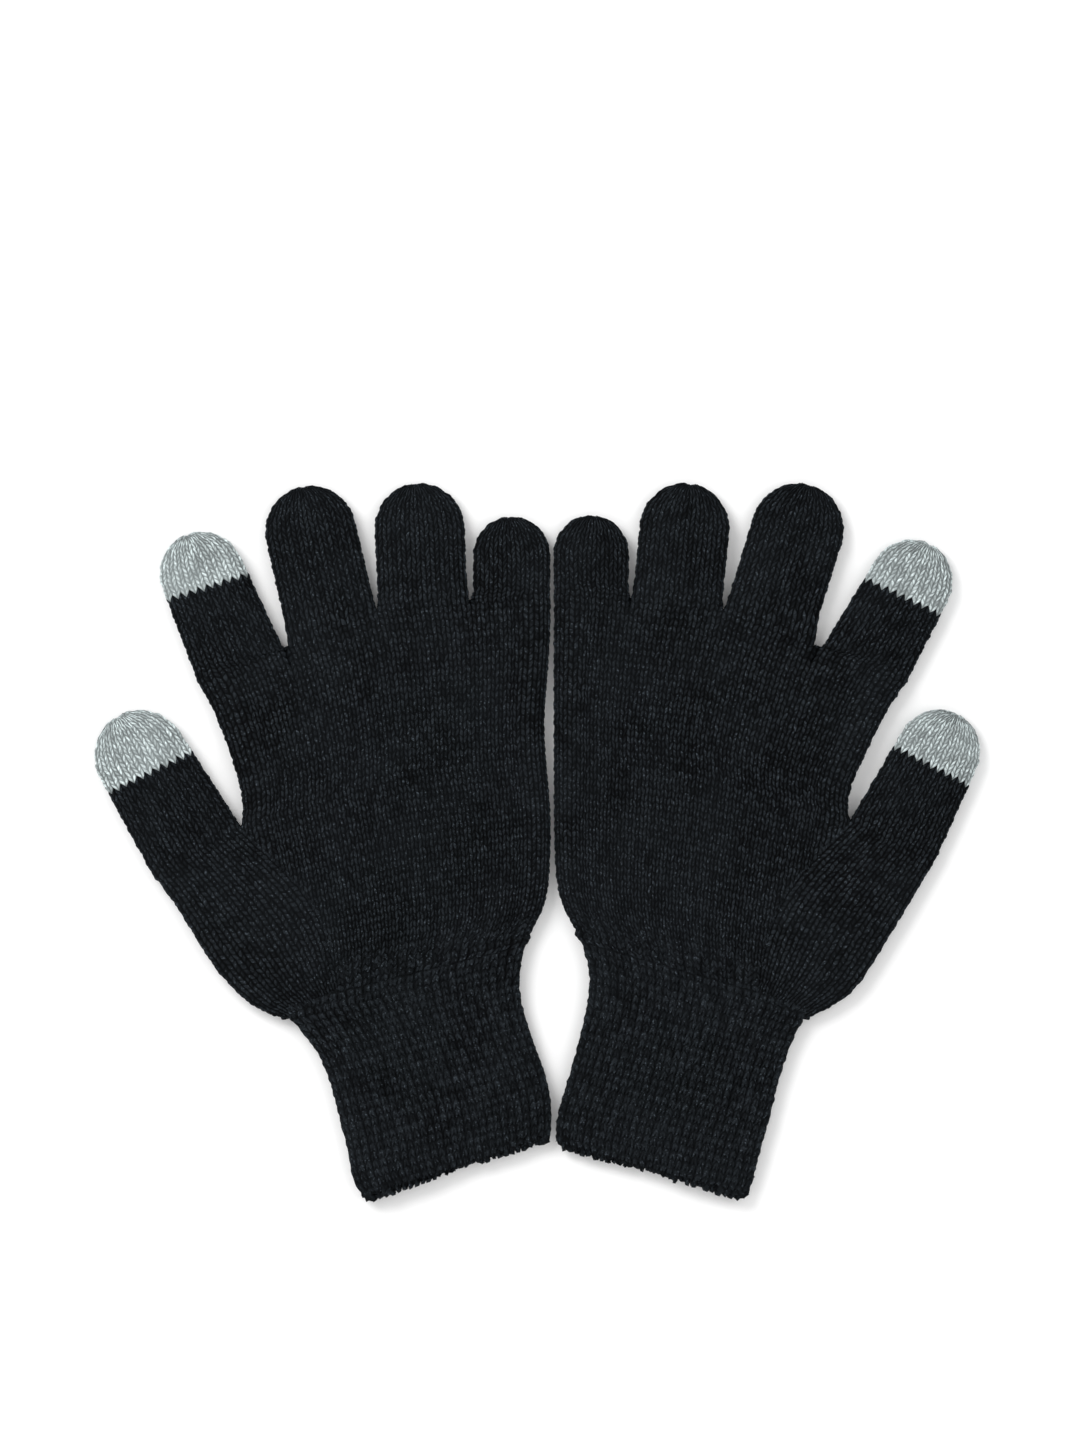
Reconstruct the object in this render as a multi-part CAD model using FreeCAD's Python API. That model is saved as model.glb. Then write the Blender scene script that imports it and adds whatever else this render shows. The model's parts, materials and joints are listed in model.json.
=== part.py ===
import FreeCAD, Part
import math
import os

from FreeCAD import Placement, Rotation, Vector

# A pair of knitted stretch gloves lying flat on their backs, palms up and thumbs outwards.
# +X runs to the right across the pair, +Y towards the fingertips and +Z up.
# The origin is the middle of the rectangle that the pair covers, on the surface it lies on.

# Driving dimensions, in millimetres and degrees.
THICKNESS = 9.2  # a glove lying flat, from the surface up to its palm
WALL = 1.8  # one layer of knitting
FOLD_GAP = 0.4  # clear space between two stretches at a fold
MID_FOLD = 0.42  # where a digit's second fold is, as a share of its free length
ROOT_DEPTH = 8.0  # blanks of the digits run back past their roots by this before they are trimmed
CAVITY_DEPTH = 12.0  # how far a digit's hollow runs back into the hand
EDGE_WIDTH = 3.0  # the bound edge of the cuff
WRIST_MOUTH = (WALL + 3.5, WALL + 2.0)  # how far the way through the wrist keeps from its corners, and its reach
HEM_MOUTH = (WALL + 1.0, EDGE_WIDTH + WALL)
ELASTIC_THREADS = 11
ELASTIC_SECTION = 0.5  # a covered elastic thread is a square of this side
ELASTIC_CLEARANCE = 0.05
YARN_RADIUS = 0.8
KNOT_RADIUS = 1.5
TAIL_LENGTH = 9.0
TAIL_FROM_SIDE = 5.5  # how far a knotted tail lies from the outside of its digit
SAME_PLACE = 1.5  # two fold ends nearer than this share one corner of the hand
CURVE_POINTS = 24  # a curved side of an inset outline is drawn through this many points
FAR = 200.0  # longer than any blank

# Each digit is (root x, root y, root width, tip centre x, tip centre y, tip radius).
# knuckle_angle and thumb_angle turn the fold lines of the fingers and of the thumb from +X.
# A touch tip is (angle of its border from +X, distance of the border below the tip's centre).
GLOVES = {
    "left": {
        "knuckle_angle": 10.0,
        "thumb_angle": 31.0,
        "digits": {
            "thumb": (-105.1, -2.9, 31.4, -122.6, 26.6, 14.3),
            "index": (-90.1, 51.2, 29.6, -103.6, 82.9, 13.1),
            "middle": (-63.8, 68.9, 28.5, -70.0, 96.0, 14.2),
            "ring": (-35.4, 73.9, 27.9, -36.4, 97.0, 14.0),
            "little": (-7.9, 73.5, 24.3, -7.9, 88.7, 12.0),
        },
        "touch_tips": {"thumb": (26.0, 5.7), "index": (17.7, 4.2)},
        "palm_side": [(-91.6, 14.5), (-94.7, 26.0), (-99.3, 38.5)],
        "heel_side": [(3.3, 52.0), (2.3, 36.0), (4.0, 12.0), (4.0, -6.0), (1.4, -21.5), (-2.9, -30.0)],
        "ball_side": [(-84.6, -52.4), (-90.6, -48.6), (-103.2, -33.8), (-112.2, -19.2)],
        "wrist": ((-76.5, -54.5), (-4.4, -36.5)),
        "cuff_outer": [
            (-71.8, -60.0), (-66.9, -67.2), (-63.9, -75.5), (-61.3, -85.5), (-58.6, -96.6),
            (-56.9, -104.6), (-54.0, -109.2), (-48.0, -110.8),
        ],
        "cuff_inner": [(-5.3, -44.5), (-2.9, -56.0), (1.0, -67.0), (3.6, -75.5), (4.5, -84.0), (4.2, -90.6)],
    },
    "right": {
        "knuckle_angle": -11.0,
        "thumb_angle": -27.0,
        "digits": {
            "thumb": (109.7, 0.4, 29.3, 124.0, 28.1, 12.9),
            "index": (99.3, 52.0, 29.9, 115.5, 80.7, 12.9),
            "middle": (71.8, 68.7, 28.6, 80.4, 96.6, 14.4),
            "ring": (43.2, 74.1, 27.8, 45.5, 97.0, 14.0),
            "little": (16.55, 74.7, 23.4, 16.65, 89.3, 11.75),
        },
        "touch_tips": {"thumb": (-27.6, 4.9), "index": (-25.3, 5.3)},
        "palm_side": [(96.6, 15.0), (101.0, 26.0), (107.4, 39.0)],
        "heel_side": [(4.9, 50.0), (5.0, 20.0), (5.3, -4.0), (7.6, -19.0), (12.6, -29.0)],
        "ball_side": [(87.8, -52.4), (94.7, -48.5), (106.3, -33.6), (115.4, -18.6)],
        "wrist": ((82.3, -55.0), (14.8, -35.6)),
        "cuff_outer": [
            (79.6, -60.0), (76.8, -67.5), (74.3, -75.5), (71.9, -85.5), (69.2, -95.0),
            (66.9, -104.0), (65.0, -109.0), (60.5, -111.1),
        ],
        "cuff_inner": [(15.9, -43.0), (14.8, -52.0), (12.3, -62.5), (9.0, -74.0), (6.3, -83.5), (5.6, -92.9)],
    },
}


def flat(point):
    return Vector(point[0], point[1], 0)


def line(a, b):
    return Part.LineSegment(flat(a), flat(b)).toShape()


def smooth(points):
    curve = Part.BSplineCurve()
    curve.interpolate([flat(p) for p in points])
    return curve.toShape()


def face_of(edges):
    return Part.Face(Part.Wire(Part.__sortEdges__(edges)))


def inset(face, distance):
    """A face drawn in all round by a distance."""
    edges = []
    for edge in face.makeOffset2D(-distance).OuterWire.OrderedEdges:
        straight_or_round = isinstance(edge.Curve, (Part.Line, Part.Circle))
        edges.append(edge if straight_or_round else smooth(edge.discretize(CURVE_POINTS)))
    return face_of(edges)


def local_frame(x, y, angle):
    """Local X runs along a fold line, local Y towards the digit's tip."""
    return Placement(Vector(x, y, 0), Rotation(Vector(0, 0, 1), angle))


def across(frame, start, stop):
    """A block that is wide along the fold line and holds what lies from start to stop along local Y."""
    block = Part.makeBox(2 * FAR, stop - start, 3 * THICKNESS, Vector(-FAR, start, -THICKNESS))
    block.Placement = frame
    return block


def upright(face, bottom, height):
    prism = face.copy()
    prism.translate(Vector(0, 0, bottom))
    return prism.extrude(Vector(0, 0, height))


def solid_outside(face):
    return upright(face, 0, THICKNESS)


def hollow(face):
    return upright(face, WALL, THICKNESS - 2 * WALL)


def tangent_point(point, centre, radius, side):
    """Where the line from a point touches a circle; side is 1 for its left and -1 for its right."""
    to_centre = flat(centre) - flat(point)
    bearing = math.atan2(to_centre.y, to_centre.x) + side * math.asin(radius / to_centre.Length)
    reach = math.sqrt(to_centre.Length**2 - radius**2)
    return (point[0] + reach * math.cos(bearing), point[1] + reach * math.sin(bearing))


def digit_face(digit, angle, inset, depth):
    """A tapered strip with a round tip, drawn in by inset and run back past its root by depth."""
    root_x, root_y, width, tip_x, tip_y, radius = digit
    frame = local_frame(root_x, root_y, angle)
    centre, tip_radius = (tip_x, tip_y), radius - inset
    side_points, touch_points = [], []
    for side in (1, -1):
        root = frame.multVec(Vector(-side * (width / 2 - inset), 0, 0))
        touch = tangent_point(root, centre, tip_radius, side)
        back = flat(root) - flat(touch)
        back.normalize()
        side_points.append(root + back * depth)
        touch_points.append(touch)
    toward_tip = flat(centre) - frame.Base
    toward_tip.normalize()
    crown = Part.Arc(flat(touch_points[0]), flat(centre) + toward_tip * tip_radius, flat(touch_points[1]))
    return face_of([
        line(side_points[0], touch_points[0]),
        crown.toShape(),
        line(touch_points[1], side_points[1]),
        line(side_points[1], side_points[0]),
    ])


def free_length(digit, angle):
    """From the fold at the root to the end of the tip, square to the fold line."""
    root_x, root_y, _, tip_x, tip_y, radius = digit
    place = local_frame(root_x, root_y, angle).inverse().multVec(Vector(tip_x, tip_y, 0))
    return place.y + radius


def angle_of(glove, name):
    return glove["thumb_angle"] if name == "thumb" else glove["knuckle_angle"]


def frame_between(a, b):
    """Local X runs from the left one of two points to the right one, and local Y towards the fingers."""
    left, right = sorted((a, b))
    return local_frame(*left, math.degrees(math.atan2(right[1] - left[1], right[0] - left[0])))


def mouth(a, b, margin, reach):
    """The way through an open end whose corners are a and b, reaching into the tubes on both sides of it."""
    height = THICKNESS - 2 * WALL
    gap = Part.makeBox(math.dist(a, b) - 2 * margin, 2 * reach, height, Vector(margin, -reach, WALL))
    gap.Placement = frame_between(a, b)
    return gap


def root_ends(glove, name):
    """The ends of a digit's root fold, first the one nearer the thumb."""
    root_x, root_y, width = glove["digits"][name][:3]
    frame = local_frame(root_x, root_y, angle_of(glove, name))
    ends = [frame.multVec(Vector(sign * width / 2, 0, 0)) for sign in (-1, 1)]
    return sorted(((end.x, end.y) for end in ends), key=lambda end: -abs(end[0]))


def hand_sides(glove):
    """The open stretches of the hand's outline, in order from the thumb's crotch round to the thumb's root."""
    ends = {name: root_ends(glove, name) for name in glove["digits"]}
    outer_wrist, inner_wrist = glove["wrist"]
    sides = [[ends["thumb"][1], *glove["palm_side"], ends["index"][0]]]
    for name, neighbour in zip(("index", "middle", "ring"), ("middle", "ring", "little")):
        a, b = ends[name][1], ends[neighbour][0]
        meet = math.dist(a, b) < SAME_PLACE
        sides.append([((a[0] + b[0]) / 2, (a[1] + b[1]) / 2)] if meet else [a, b])
    sides.append([ends["little"][1], *glove["heel_side"], inner_wrist])
    sides.append([outer_wrist, *glove["ball_side"], ends["thumb"][0]])
    return sides


def hand_blank(glove):
    """The hand's outline as a face."""
    sides = hand_sides(glove)
    curves = [smooth(side) for side in sides if len(side) > 1]
    folds = [line(side[-1], following[0]) for side, following in zip(sides, sides[1:] + sides[:1])]
    return face_of(curves + folds)


def hem_ends(glove):
    return glove["cuff_outer"][-1], glove["cuff_inner"][-1]


def cuff_blank(glove):
    """The cuff's outline as a face."""
    outer_wrist, inner_wrist = glove["wrist"]
    sides = [smooth([outer_wrist, *glove["cuff_outer"]]), smooth([inner_wrist, *glove["cuff_inner"]])]
    ends = [line(outer_wrist, inner_wrist), line(*hem_ends(glove))]
    return face_of(sides + ends)


def make_digit(glove, side, name):
    """The stretches of one digit, in front of its root fold."""
    digit, angle = glove["digits"][name], angle_of(glove, name)
    frame = local_frame(digit[0], digit[1], angle)
    length = free_length(digit, angle)
    fold, gap = MID_FOLD * length, FOLD_GAP / 2
    tube = solid_outside(digit_face(digit, angle, 0, ROOT_DEPTH))
    tube = tube.cut(hollow(digit_face(digit, angle, WALL, CAVITY_DEPTH)))
    nodes = {f"{side}_{name}_lower": tube.common(across(frame, FOLD_GAP, fold - gap))}
    far_stretch = tube.common(across(frame, fold + gap, length + 1))
    if name in glove["touch_tips"]:
        border_angle, below = glove["touch_tips"][name]
        border = local_frame(digit[3], digit[4], border_angle)
        nodes[f"{side}_{name}_tip"] = far_stretch.common(across(border, -below, FAR))
        far_stretch = far_stretch.cut(across(border, -below, FAR))
        nodes[f"{side}_{name}_tie_ends"] = tie_ends(digit, border, below, side)
    nodes[f"{side}_{name}_upper"] = far_stretch
    return nodes


def tie_ends(digit, border, below, side):
    """A knot at the colour change and its tail, lying along the inside of the digit's outer side."""
    outward = -1 if side == "left" else 1
    sideways = outward * (digit[5] - TAIL_FROM_SIDE)
    knot_centre = Vector(sideways, -below, WALL + KNOT_RADIUS + ELASTIC_CLEARANCE)
    knot = Part.makeSphere(KNOT_RADIUS, knot_centre)
    tail = Part.makeCylinder(YARN_RADIUS, TAIL_LENGTH, knot_centre, Vector(0, 1, 0))
    bundle = knot.fuse(tail).removeSplitter()
    bundle.Placement = border
    return bundle


def make_hand(glove):
    blank = hand_blank(glove)
    hand = solid_outside(blank).cut(hollow(inset(blank, WALL)))
    for name, digit in glove["digits"].items():
        hand = hand.cut(hollow(digit_face(digit, angle_of(glove, name), WALL, CAVITY_DEPTH)))
    return hand.cut(mouth(*glove["wrist"], *WRIST_MOUTH))


def make_cuff(glove, side):
    blank = cuff_blank(glove)
    tube = solid_outside(blank).cut(hollow(inset(blank, WALL)))
    tube = tube.cut(mouth(*glove["wrist"], *WRIST_MOUTH)).cut(mouth(*hem_ends(glove), *HEM_MOUTH))
    tube = tube.cut(across(frame_between(*glove["wrist"]), -FOLD_GAP, FAR))
    hem = across(frame_between(*hem_ends(glove)), -FAR, EDGE_WIDTH)
    return {f"{side}_cuff": tube.cut(hem), f"{side}_cuff_edge": tube.common(hem)}


def make_elastic(glove):
    """Threads laid round the inside of the cuff, evenly spaced from the wrist to the bound edge."""
    blank = cuff_blank(glove)
    outer_inset = WALL + ELASTIC_CLEARANCE
    inner_inset = outer_inset + ELASTIC_SECTION
    lining, core = (upright(inset(blank, by), by, THICKNESS - 2 * by) for by in (outer_inset, inner_inset))
    lining = lining.cut(core)
    wrist, hem = frame_between(*glove["wrist"]), frame_between(*hem_ends(glove))
    threads = []
    for i in range(ELASTIC_THREADS):
        share = (i + 1) / (ELASTIC_THREADS + 1)
        frame = Placement(
            wrist.Base + (hem.Base - wrist.Base) * share,
            wrist.Rotation.slerp(hem.Rotation, share),
        )
        threads.append(lining.common(across(frame, -ELASTIC_SECTION / 2, ELASTIC_SECTION / 2)))
    return Part.makeCompound([solid for thread in threads for solid in thread.Solids])


def make_glove(side):
    glove = GLOVES[side]
    nodes = {f"{side}_hand": make_hand(glove), f"{side}_cuff_elastic": make_elastic(glove)}
    nodes.update(make_cuff(glove, side))
    for name in glove["digits"]:
        nodes.update(make_digit(glove, side, name))
    return nodes


os.makedirs("parts", exist_ok=True)
for side in GLOVES:
    for name, shape in make_glove(side).items():
        shape.exportStep(f"parts/{name}.step")
        box = shape.optimalBoundingBox()
        print(f"{name}: {len(shape.Solids)} solids, valid {shape.isValid()}, {shape.Volume / 1000:.2f} cm3, "
              f"x {box.XMin:.1f} {box.XMax:.1f} y {box.YMin:.1f} {box.YMax:.1f} z {box.ZMin:.2f} {box.ZMax:.2f}")
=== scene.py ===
import json
import math

import bmesh
import bpy
import numpy as np
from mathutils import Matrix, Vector


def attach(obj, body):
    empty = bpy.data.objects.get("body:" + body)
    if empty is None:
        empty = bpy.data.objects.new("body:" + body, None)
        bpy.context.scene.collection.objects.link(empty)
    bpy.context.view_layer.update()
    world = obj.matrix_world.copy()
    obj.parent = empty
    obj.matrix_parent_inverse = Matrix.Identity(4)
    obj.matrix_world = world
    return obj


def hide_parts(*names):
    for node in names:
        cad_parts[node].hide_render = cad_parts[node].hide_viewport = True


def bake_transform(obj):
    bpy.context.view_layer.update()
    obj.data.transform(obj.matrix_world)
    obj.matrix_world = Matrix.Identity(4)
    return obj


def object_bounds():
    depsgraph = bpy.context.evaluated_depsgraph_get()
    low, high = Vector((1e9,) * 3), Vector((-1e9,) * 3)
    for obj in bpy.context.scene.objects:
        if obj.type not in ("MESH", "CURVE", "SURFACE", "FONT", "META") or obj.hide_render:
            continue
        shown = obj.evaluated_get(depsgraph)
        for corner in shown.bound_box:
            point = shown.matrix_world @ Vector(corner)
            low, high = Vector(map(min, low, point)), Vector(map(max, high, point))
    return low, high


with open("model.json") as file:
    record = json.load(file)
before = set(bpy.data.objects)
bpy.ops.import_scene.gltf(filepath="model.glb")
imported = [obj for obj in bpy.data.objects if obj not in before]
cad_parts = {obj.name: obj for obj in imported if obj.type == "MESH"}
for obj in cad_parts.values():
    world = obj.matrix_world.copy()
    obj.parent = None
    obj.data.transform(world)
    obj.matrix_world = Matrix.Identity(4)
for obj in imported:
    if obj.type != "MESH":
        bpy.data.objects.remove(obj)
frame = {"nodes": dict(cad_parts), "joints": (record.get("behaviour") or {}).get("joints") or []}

bl_info = {
    "name": "Knitted touchscreen gloves",
    "version": (1, 0, 0),
    "blender": (4, 5, 0),
    "location": "View3D > Sidebar > Gloves",
    "description": "Knits a pair of stretch gloves with touch fingertips onto their packed frame",
    "category": "Object",
}

CAD_BOX = [list(corner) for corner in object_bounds()]
JOINTS = {joint["name"]: joint for joint in frame["joints"]}
SIDES = ("left", "right")
DIGITS = ("thumb", "index", "middle", "ring", "little")
FINGERS = DIGITS[1:]
TOUCH_DIGITS = ("thumb", "index")
PALM_SIDE, BACK_SIDE = 1, -1  # the sheet that looks up and the one the glove lies on
WALE_CELLS = 8  # quads across one column of stitches
COURSE_CELLS = 4  # quads along one row of stitches
FIBRE_DEPTH = 0.00022  # how deep the yarn's fibres are, in metres
MM = 0.001


# Flat geometry on numpy rows of points

def smoothstep(low, high, x):
    t = np.clip((x - low) / (high - low), 0, 1)
    return t * t * (3 - 2 * t)


def unit(v):
    v = np.asarray(v, float)
    return v / np.maximum(np.linalg.norm(v, axis=-1, keepdims=True), 1e-12)


def turned(v):
    """A flat vector, or a row of them, turned a quarter turn to the left."""
    v = np.asarray(v, float)
    return np.stack([-v[..., 1], v[..., 0]], -1)


def resample(points, shares):
    """Points at shares of the length of a polyline."""
    length = np.concatenate([[0], np.cumsum(np.linalg.norm(np.diff(points, axis=0), axis=1))])
    columns = [np.interp(shares, length / length[-1], points[:, i]) for i in range(points.shape[1])]
    return np.stack(columns, -1)


def crossings(edges, point, direction):
    """Where a flat line crosses edges, as distances along it."""
    ahead = (edges - point) @ direction
    off = (edges - point) @ turned(direction)
    cut = (off[:, 0] * off[:, 1] <= 0) & (np.abs(off[:, 0] - off[:, 1]) > 1e-9)
    share = off[cut, 0] / (off[cut, 0] - off[cut, 1])
    return ahead[cut, 0] + share * (ahead[cut, 1] - ahead[cut, 0])


def bridged(offsets, reach):
    """Outline offsets with their narrow dips filled, such as where two stretches leave a gap at a fold."""
    def window(values, pick):
        padded = np.pad(values, reach, mode="edge")
        return pick([padded[i:i + len(values)] for i in range(2 * reach + 1)], axis=0)

    return window(window(offsets, np.max), np.min)


def thickened(cells, keep):
    """Cells with a neighbour set, or with all their neighbours set."""
    around = [np.roll(cells, (i, j), (0, 1)) for i in (-1, 0, 1) for j in (-1, 0, 1)]
    return keep(around, axis=0)


def footprint(node):
    """The triangles of a CAD node's upper face, seen from above."""
    mesh = frame["nodes"][node].data
    mesh.calc_loop_triangles()
    co = np.array([v.co for v in mesh.vertices], float)
    corners = co[np.array([t.vertices[:] for t in mesh.loop_triangles])]
    return corners[(corners[:, :, 2] > co[:, 2].max() - 1e-5).all(axis=1)][:, :, :2]


def joint_line(name):
    """A point on a fold, and the direction along it from the thumb's side to the little finger's."""
    axis = unit(JOINTS[name]["axis"][:2])
    inward = 1 if name.startswith("left") else -1
    return np.array(JOINTS[name]["pos_m"][:2]), axis * math.copysign(1, axis[0] * inward)


class Blank:
    """One glove's flat outline, and how full of its own thickness it lies at each place."""

    CELL = 0.5 * MM
    SOFT = 7.5 * MM  # how far in from its outline the glove reaches most of its thickness

    def __init__(self, side, sizes):
        self.side, self.sizes = side, sizes
        self.inward = 1 if side == "left" else -1
        names = [n for n in frame["nodes"] if n.startswith(side) and not n.endswith(("elastic", "ends"))]
        self.faces = {n: footprint(n) for n in names}
        self.edges = {
            n: np.concatenate([faces[:, (i, (i + 1) % 3)] for i in range(3)]) for n, faces in self.faces.items()
        }
        self.fill_in()

    def fill_in(self):
        faces = np.concatenate(list(self.faces.values()))
        self.low = faces.min(axis=(0, 1)) - 6 * self.CELL
        counts = np.ceil((faces.max(axis=(0, 1)) - self.low) / self.CELL).astype(int) + 6
        cloth = np.zeros(counts, bool)
        for corners in (faces - self.low) / self.CELL:
            a, b = np.floor(corners.min(axis=0)).astype(int), np.ceil(corners.max(axis=0)).astype(int) + 1
            at = np.stack(np.mgrid[a[0]:b[0], a[1]:b[1]], -1)
            sides = [np.cross(corners[(i + 1) % 3] - corners[i], at - corners[i]) for i in range(3)]
            sign = 1 if np.cross(corners[1] - corners[0], corners[2] - corners[0]) > 0 else -1
            cloth[a[0]:b[0], a[1]:b[1]] |= np.all([sign * s >= -1e-9 for s in sides], axis=0)
        closed = cloth
        for keep in (np.any, np.any, np.any, np.all, np.all, np.all):
            closed = thickened(closed, keep)
        places = self.low + np.stack(np.mgrid[:counts[0], :counts[1]], -1) * self.CELL
        for name in (name for name in JOINTS if name.startswith(self.side) and name.endswith("fold")):
            point, along = joint_line(name)
            cloth |= closed & (np.abs((places - point) @ turned(along)) < 1.3 * MM)
        inside = cloth[1:-1, 1:-1]
        pull = (self.CELL / self.SOFT) ** 2
        full = cloth.astype(float)
        for _ in range(900):
            full[1:-1, 1:-1] = inside * (
                full[2:, 1:-1] + full[:-2, 1:-1] + full[1:-1, 2:] + full[1:-1, :-2] + pull
            ) / (4 + pull)
        self.full = np.sqrt(full)

    def fullness(self, at):
        """0 at the outline, rising to 1 well inside it."""
        cell = np.clip((at - self.low) / self.CELL, 0, np.array(self.full.shape) - 1.001)
        i, f = np.floor(cell).astype(int), cell - np.floor(cell)
        x, y, fx, fy = i[..., 0], i[..., 1], f[..., 0], f[..., 1]
        return (
            self.full[x, y] * (1 - fx) * (1 - fy) + self.full[x + 1, y] * fx * (1 - fy)
            + self.full[x, y + 1] * (1 - fx) * fy + self.full[x + 1, y + 1] * fx * fy
        )

    def height(self, at, face):
        """The middle of the yarn layer above or below the flat seam of the outline."""
        s, sizes = self.fullness(at), self.sizes
        if face == PALM_SIDE:
            return sizes.seam_height + (sizes.palm_height - sizes.seam_height) * s + self.rumples(at) * s * s
        return sizes.seam_height - (sizes.seam_height - sizes.back_height) * s**0.6

    def rumples(self, at):
        """Low waves where the cloth doesn't lie quite flat, and gathers that fan out from the cuff."""
        x, y = at[..., 0] * self.inward / MM, at[..., 1] / MM
        waves = (
            np.sin(x / 9.1 + 0.8 * np.sin(y / 17) + 0.4) * np.sin(y / 13.3 + 1.1)
            + 0.6 * np.sin(x / 5.3 + y / 8.2) * np.sin(y / 7.1 - x / 15)
        )
        wrist, along = joint_line(f"{self.side}_wrist_fold")
        up = (at - wrist) @ turned(along) * self.inward / MM
        lateral = (at - wrist) @ along / MM
        fan = lateral / (1 + np.clip(up, 0, 60) / 75)
        gathers = np.sin(fan / 1.25 + 1.7 * np.sin(fan / 7.0) + up / 60) + 0.6 * np.sin(fan / 2.3 + 2.0)
        near = smoothstep(-6, 5, up) * (1 - smoothstep(9, 34, up))
        return (self.sizes.rumple * waves * 0.5 + self.sizes.gather * gathers * near * 0.5)

    def span(self, nodes, point, direction):
        """The first and last crossing of a line with the outlines of some nodes."""
        hits = np.concatenate([crossings(self.edges[n], point, direction) for n in nodes])
        return hits.min(), hits.max()

    def line_ends(self, nodes, point, direction):
        low, high = self.span(nodes, point, direction)
        return point + low * direction, point + high * direction

    def side_curve(self, nodes, start, end, outward, count=60):
        """The outline between two of its points, found by looking outwards from the line between them."""
        shares = np.linspace(0, 1, count)
        chord = unit(end - start)
        look = turned(chord)
        look = look if look @ outward > 0 else -look
        edges = np.concatenate([self.edges[n] for n in nodes])
        offsets = np.zeros(count)
        for i, share in enumerate(shares[1:-1], 1):
            hits = crossings(edges, start + (end - start) * share, look)
            near = hits[np.abs(hits) < 12 * MM]
            offsets[i] = near.max() if len(near) else offsets[i - 1]
        offsets = bridged(offsets, 2)
        offsets[[0, -1]] = 0
        return start + (end - start) * shares[:, None] + look * offsets[:, None]


# Sheets of knitting: a grid of points whose rows are courses and whose columns are wales

def patch(bottom, top, near, far):
    """A flat sheet stretched between four edges that share their corners."""
    u = np.linspace(0, 1, len(bottom))[None, :, None]
    v = np.linspace(0, 1, len(near))[:, None, None]
    ruled = (1 - v) * bottom[None] + v * top[None] + (1 - u) * near[:, None] + u * far[:, None]
    corners = (
        (1 - u) * (1 - v) * bottom[0] + u * (1 - v) * bottom[-1] + (1 - u) * v * top[0] + u * v * top[-1])
    return ruled - corners


def edge_ease(count, low=True, high=True, pinch=0.55):
    """Shares across a sheet that come closer together where it turns over at its outline."""
    u = np.linspace(0, 1, count)
    width = 0.06
    ease = u.copy()
    if low:
        ease -= pinch * width / math.pi * np.sin(math.pi * np.clip(u / width, 0, 2)) * (u < 2 * width) * 0.5
    if high:
        swing = np.sin(math.pi * np.clip((1 - u) / width, 0, 2))
        ease += pinch * width / math.pi * swing * (u > 1 - 2 * width) * 0.5
    return ease


def cloth_normals(points, face):
    across, along = np.gradient(points, axis=1), np.gradient(points, axis=0)
    normal = unit(np.cross(across, along))
    return normal * np.sign(normal[..., 2].mean()) * face


def leg_rows(b, flat=0.6):
    return np.abs(np.sin(math.pi * b)) ** flat


def stitch_relief(a, b):
    """Plain knitting: two plump legs to a stitch."""
    legs = np.abs(np.sin(2 * math.pi * a)) ** 0.75
    return legs * (0.30 + 0.70 * leg_rows(b))


def rib_relief(a, b):
    """Ribbing: raised chains of stitches, and the bars of purl stitches low down between them."""
    f = a - np.floor(a)
    bars = np.interp(np.minimum(f, 1 - f), [0, 0.14, 0.26], [0.42, 0.34, 0]) * leg_rows(b + 0.5, 0.8)
    chain = np.interp(
        f, [0, 0.10, 0.20, 0.34, 0.5, 0.66, 0.80, 0.90, 1], [0, 0.42, 0.9, 1, 0.62, 1, 0.9, 0.42, 0])
    return np.maximum(chain * (0.38 + 0.62 * leg_rows(b, 0.7)), bars)


def scatter(a, b, seed, amount):
    """A steady random number for each stitch."""
    rng = np.random.default_rng(seed)
    table = rng.uniform(-amount, amount, (97, 89))
    return table[np.floor(2 * a).astype(int) % 97, np.floor(b).astype(int) % 89]


def stray(at):
    """How far soft yarn strays from its even place; nothing near the line where the two gloves meet."""
    x, y = at[..., 0] / MM, at[..., 1] / MM
    sway = np.sin(1.31 * y + 0.9 * np.sin(0.83 * x + 0.6)) + 0.6 * np.sin(2.3 * y - 1.1 * x + 1.4)
    rise = np.sin(1.17 * x + 0.8 * np.sin(0.71 * y)) + 0.6 * np.sin(2.1 * x + 1.3 * y + 0.5)
    return np.stack([sway * smoothstep(0, 6, np.abs(x)), rise], -1) * 0.11 * MM


class Sheet:
    """Points of a sheet, and at each of them its wale, its course and how proud its yarn stands."""

    def __init__(self, points, stitch):
        self.points, self.stitch = points, stitch

    def rows(self, start, stop):
        return Sheet(self.points[start:stop], self.stitch[start:stop])


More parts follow.
